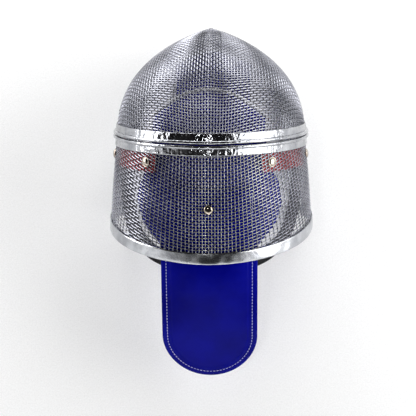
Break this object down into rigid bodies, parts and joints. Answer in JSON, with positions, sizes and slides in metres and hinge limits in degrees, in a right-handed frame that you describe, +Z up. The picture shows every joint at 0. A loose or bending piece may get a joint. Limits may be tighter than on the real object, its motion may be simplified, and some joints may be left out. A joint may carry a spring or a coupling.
{
  "type": "fencing mask",
  "caption": "Fencing mask: woven wire face and back baskets joined at a rolled metal seam, bound edge, inner pads, sprung tongue, straps.",
  "frame": {"origin": "centre of the mask's box in plan, at the flat jaw edge that it stands on", "axes": "+Z up, -Y the way the face looks, +X to the wearer's left as worn"},
  "size_m": [0.2136, 0.3911, 0.2282],
  "materials": {
    "wire": "bright galvanised steel wire",
    "band": "crinkled tinned steel strip, mirror bright",
    "binding": "satin tinned steel edging",
    "pad": "blue padded cloth",
    "piping": "white corded piping",
    "tongue": "glossy royal blue coated cloth, stitched edge",
    "webbing": "red woven webbing",
    "elastic": "black ribbed elastic",
    "rivet": "bright nickel plated"
  },
  "bodies": {
    "root": {"front_basket": "wire", "back_basket": "wire", "front_seam_band": "band", "back_seam_band": "band", "edge_binding": "binding", "crown_pad": "pad", "pad_piping": "piping", "chin_pad": "pad", "tongue": "tongue", "strap_tab_left": "webbing", "strap_tab_right": "webbing", "nape_strap": "elastic", "rivet_centre": "rivet", "rivet_left": "rivet", "rivet_right": "rivet", "rivet_side_left": "rivet", "rivet_side_right": "rivet"}
  },
  "joints": []
}
